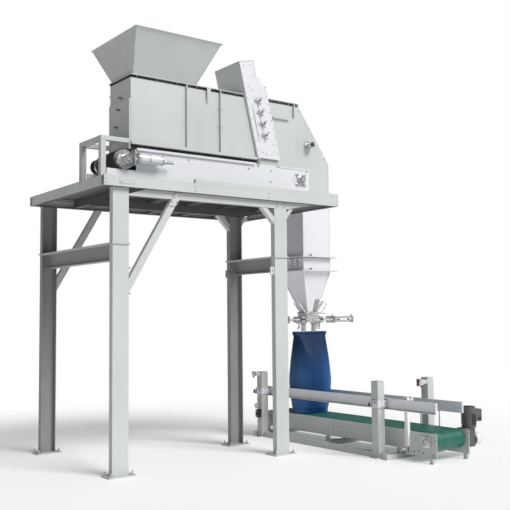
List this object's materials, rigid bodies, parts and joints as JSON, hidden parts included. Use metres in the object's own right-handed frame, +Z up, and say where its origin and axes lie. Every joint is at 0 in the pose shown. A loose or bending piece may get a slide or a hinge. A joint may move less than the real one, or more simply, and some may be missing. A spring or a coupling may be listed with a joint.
{
  "type": "bag filling station",
  "caption": "Raised belt feeder with inlet hopper on a steel tower, filling an open-mouth bag through a spout above a low take-away belt conveyor.",
  "frame": {"origin": "on the floor, at the middle of the whole footprint", "axes": "+Z up; +X along the raised feeder from inlet hopper to discharge duct; -Y is the side the conveyor discharges to"},
  "size_m": [4.124, 3.54, 4.735],
  "materials": {
    "structure_paint": "semi-gloss pale grey-green machine paint",
    "underside_paint": "matt dark paint",
    "stainless_sheet": "fine brushed stainless sheet",
    "bright_steel": "machined and zinc plated steel",
    "black_rubber": "matt conveyor rubber",
    "green_belt": "satin green conveyor belt",
    "dark_motor": "satin black drive paint",
    "woven_bag": "woven blue plastic fabric",
    "white_paint": "satin white paint"
  },
  "bodies": {
    "station": {"lower_columns": "structure_paint", "upper_columns": "structure_paint", "base_plates": "structure_paint", "portal_beams": "structure_paint", "portal_plates": "structure_paint", "main_beams": "structure_paint", "deck_channels": "structure_paint", "deck_cross_members": "underside_paint", "deck_plate": "structure_paint", "braces": "structure_paint", "tail_guard": "structure_paint", "inlet_hopper": "structure_paint", "bunker_side_panels": "structure_paint", "bunker_end_panel": "structure_paint", "casing_flanges": "structure_paint", "roof_plate": "structure_paint", "skirt_seals": "black_rubber", "gate_housing": "stainless_sheet", "head_side_panels": "structure_paint", "head_cover": "structure_paint", "sensor_housing": "bright_steel", "feeder_feet": "structure_paint", "belt_side_frames": "stainless_sheet", "feeder_belt": "black_rubber", "head_bearings": "bright_steel", "takeup_cylinders": "stainless_sheet", "feeder_gearmotor": "dark_motor", "discharge_duct": "stainless_sheet", "duct_spool": "stainless_sheet", "weigh_funnel": "stainless_sheet", "dust_stub": "stainless_sheet", "spout_block": "bright_steel", "spreader_rods": "bright_steel", "spreader_cylinder": "bright_steel", "filled_bag": "woven_bag", "conveyor_base": "structure_paint", "guide_posts": "structure_paint", "conveyor_frame": "structure_paint", "slider_bed": "stainless_sheet", "conveyor_belt": "green_belt", "drum_bearings": "bright_steel", "conveyor_gearmotor": "dark_motor", "photo_eye_post": "white_paint"},
    "tail_carriage": {"tail_bearings": "bright_steel", "takeup_rods": "bright_steel"},
    "tail_roll": {"tail_drum": "bright_steel"},
    "head_roll": {"head_drum": "bright_steel"},
    "gate": {"gate_blade": "stainless_sheet"},
    "knob_1": {"gate_knob_1": "bright_steel"},
    "knob_2": {"gate_knob_2": "bright_steel"},
    "knob_3": {"gate_knob_3": "bright_steel"},
    "knob_4": {"gate_knob_4": "bright_steel"},
    "level_paddle": {"sensor_paddle": "bright_steel"},
    "finger_right": {"spreader_finger_right": "bright_steel", "cylinder_rod": "bright_steel"},
    "finger_left": {"spreader_finger_left": "bright_steel"},
    "discharge_roll": {"drive_drum": "bright_steel"},
    "return_roll": {"return_drum": "bright_steel"},
    "near_rail": {"near_guide_rail": "stainless_sheet"},
    "far_rail": {"far_guide_rail": "stainless_sheet"}
  },
  "joints": [
    {"name": "head_drum_spin", "type": "hinge", "parent": "station", "child": "head_roll", "pos_m": [1.044, 0.725, 3.304], "axis": [0, 1, 0], "continuous": true},
    {"name": "takeup_slide", "type": "slide", "parent": "station", "child": "tail_carriage", "axis": [1, 0, 0], "range_m": [0, 0.04]},
    {"name": "tail_drum_spin", "type": "hinge", "parent": "tail_carriage", "child": "tail_roll", "pos_m": [-1.48, 0.725, 3.304], "axis": [0, 1, 0], "continuous": true},
    {"name": "gate_lift", "type": "slide", "parent": "station", "child": "gate", "axis": [-0.2334, 0, 0.9724], "range_m": [-0.04, 0.24]},
    {"name": "gate_knob_1_turn", "type": "hinge", "parent": "station", "child": "knob_1", "pos_m": [0.44799, 0.439, 3.80265], "axis": [0, -1, 0], "continuous": true},
    {"name": "gate_knob_2_turn", "type": "hinge", "parent": "station", "child": "knob_2", "pos_m": [0.41414, 0.439, 3.94365], "axis": [0, -1, 0], "continuous": true},
    {"name": "gate_knob_3_turn", "type": "hinge", "parent": "station", "child": "knob_3", "pos_m": [0.38029, 0.439, 4.08464], "axis": [0, -1, 0], "continuous": true},
    {"name": "gate_knob_4_turn", "type": "hinge", "parent": "station", "child": "knob_4", "pos_m": [0.34644, 0.439, 4.22563], "axis": [0, -1, 0], "continuous": true},
    {"name": "paddle_spin", "type": "hinge", "parent": "station", "child": "level_paddle", "pos_m": [1.169, 0.475, 3.76], "axis": [0, 1, 0], "continuous": true},
    {"name": "spread_right", "type": "slide", "parent": "station", "child": "finger_right", "axis": [1, 0, 0], "range_m": [0, 0.12]},
    {"name": "spread_left", "type": "slide", "parent": "station", "child": "finger_left", "axis": [1, 0, 0], "range_m": [-0.12, 0]},
    {"name": "discharge_drum_spin", "type": "hinge", "parent": "station", "child": "discharge_roll", "pos_m": [1.3, -1.56, 0.2175], "axis": [1, 0, 0], "continuous": true},
    {"name": "return_drum_spin", "type": "hinge", "parent": "station", "child": "return_roll", "pos_m": [1.3, 1.18, 0.2175], "axis": [1, 0, 0], "continuous": true},
    {"name": "near_rail_height", "type": "slide", "parent": "station", "child": "near_rail", "axis": [0, 0, 1], "range_m": [-0.08, 0.16]},
    {"name": "far_rail_height", "type": "slide", "parent": "station", "child": "far_rail", "axis": [0, 0, 1], "range_m": [-0.08, 0.16]}
  ],
  "couplings": [
    {"joint": "tail_drum_spin", "follows": "head_drum_spin", "ratio": 1},
    {"joint": "return_drum_spin", "follows": "discharge_drum_spin", "ratio": 1},
    {"joint": "spread_left", "follows": "spread_right", "ratio": -1}
  ]
}
